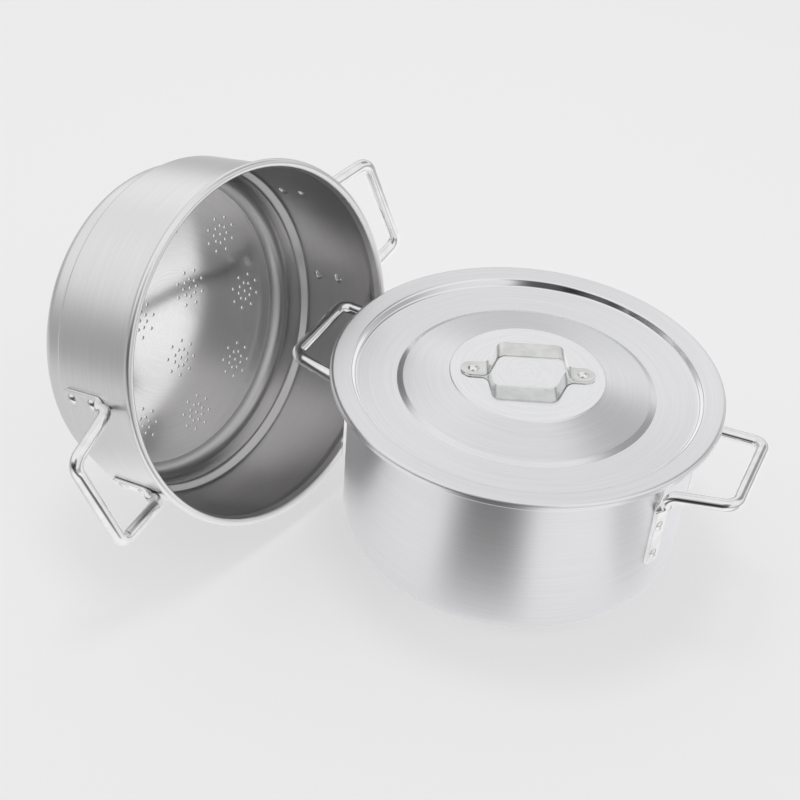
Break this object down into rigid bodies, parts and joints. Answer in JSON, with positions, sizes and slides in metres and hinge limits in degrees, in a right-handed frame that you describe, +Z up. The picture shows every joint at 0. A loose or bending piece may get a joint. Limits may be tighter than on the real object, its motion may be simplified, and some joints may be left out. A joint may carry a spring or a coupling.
{
  "type": "steamer pot",
  "caption": "Round metal steamer pot with a domed lid on it and a perforated steamer insert lying beside it, with rod side handles and a strap lid handle.",
  "frame": {"origin": "centre of the pot's flat base, on the surface that it stands on", "axes": "+Z up along the pot's axis, +X to the right as in the picture, away from the steamer insert, and +Y away from the viewer"},
  "size_m": [0.604, 0.3564, 0.3204],
  "materials": {
    "satin_wall": "brushed round the wall to a soft satin",
    "spun_lid": "spun to fine rings, with a glossy flat middle",
    "polished_rod": "polished",
    "polished_strap": "polished",
    "polished_rivet": "polished"
  },
  "bodies": {
    "pot": {"pot_shell": "satin_wall", "pot_handle_right": "polished_rod", "pot_handle_left": "polished_rod", "pot_rivet_right_near_upper": "polished_rivet", "pot_rivet_right_near_lower": "polished_rivet", "pot_rivet_right_far_upper": "polished_rivet", "pot_rivet_right_far_lower": "polished_rivet", "pot_rivet_left_near_upper": "polished_rivet", "pot_rivet_left_near_lower": "polished_rivet", "pot_rivet_left_far_upper": "polished_rivet", "pot_rivet_left_far_lower": "polished_rivet"},
    "lid": {"lid_shell": "spun_lid", "lid_handle": "polished_strap", "lid_rivet_left": "polished_rivet", "lid_rivet_right": "polished_rivet"},
    "steamer": {"steamer_shell": "satin_wall", "steamer_handle_lower": "polished_rod", "steamer_handle_upper": "polished_rod", "steamer_rivet_lower_near_upper": "polished_rivet", "steamer_rivet_lower_near_lower": "polished_rivet", "steamer_rivet_lower_far_upper": "polished_rivet", "steamer_rivet_lower_far_lower": "polished_rivet", "steamer_rivet_upper_near_upper": "polished_rivet", "steamer_rivet_upper_near_lower": "polished_rivet", "steamer_rivet_upper_far_upper": "polished_rivet", "steamer_rivet_upper_far_lower": "polished_rivet"}
  },
  "joints": [
    {"name": "lid_lift", "type": "slide", "parent": "pot", "child": "lid", "axis": [0, 0, 1], "range_m": [0, 0.25]},
    {"name": "steamer_draw", "type": "slide", "parent": "pot", "child": "steamer", "axis": [-0.822, 0.5694, 0], "range_m": [0, 0.25]}
  ]
}
